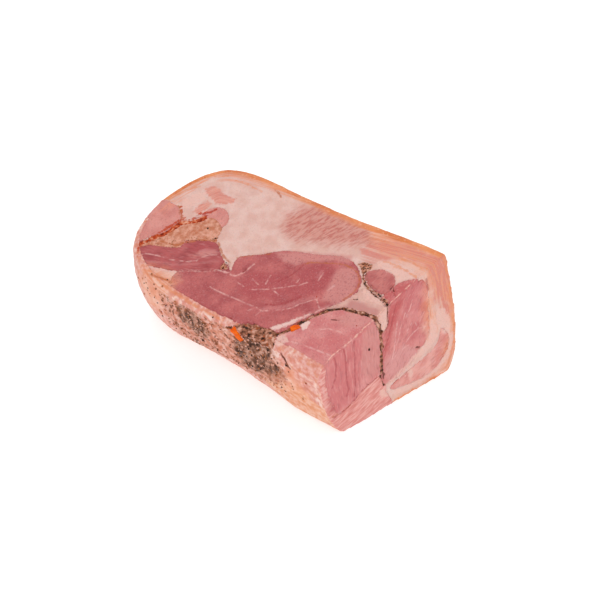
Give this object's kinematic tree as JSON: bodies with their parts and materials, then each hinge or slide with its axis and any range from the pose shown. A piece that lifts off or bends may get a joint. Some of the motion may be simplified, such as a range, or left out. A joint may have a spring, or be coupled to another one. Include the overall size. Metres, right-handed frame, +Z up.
{
  "type": "pork roulade",
  "caption": "Chunk of rolled, pressed and cooked pork: lean muscles and spice filling wrapped in belly fat and rind, sliced on top and at one end.",
  "frame": {"origin": "on the table, under the middle of the box round the piece", "axes": "+Z up; +X along the joint to its cut end; +Y across it to the rind side, where the sliced top is highest"},
  "size_m": [0.1678, 0.0992, 0.076],
  "materials": {
    "lean": "moist",
    "pale_lean": "moist",
    "fat": "moist",
    "spiced_fat": "moist",
    "belly": "moist",
    "spice": "rough",
    "paprika": "rough",
    "carrot": "moist"
  },
  "bodies": {
    "root": {"carrot_baton_side": "carrot", "carrot_baton_seam": "carrot", "spice_filling": "spice", "near_belly_wrap": "belly", "paprika_seam": "paprika", "left_strip_muscle": "lean", "upper_left_muscle": "pale_lean", "spiced_fat_layer": "spiced_fat", "large_muscle": "lean", "corner_muscle": "lean", "fat_wedge": "fat", "light_muscle": "pale_lean", "oval_muscle": "lean", "end_muscle": "lean", "far_lean_layer": "pale_lean", "far_belly_wrap": "belly"}
  },
  "joints": []
}
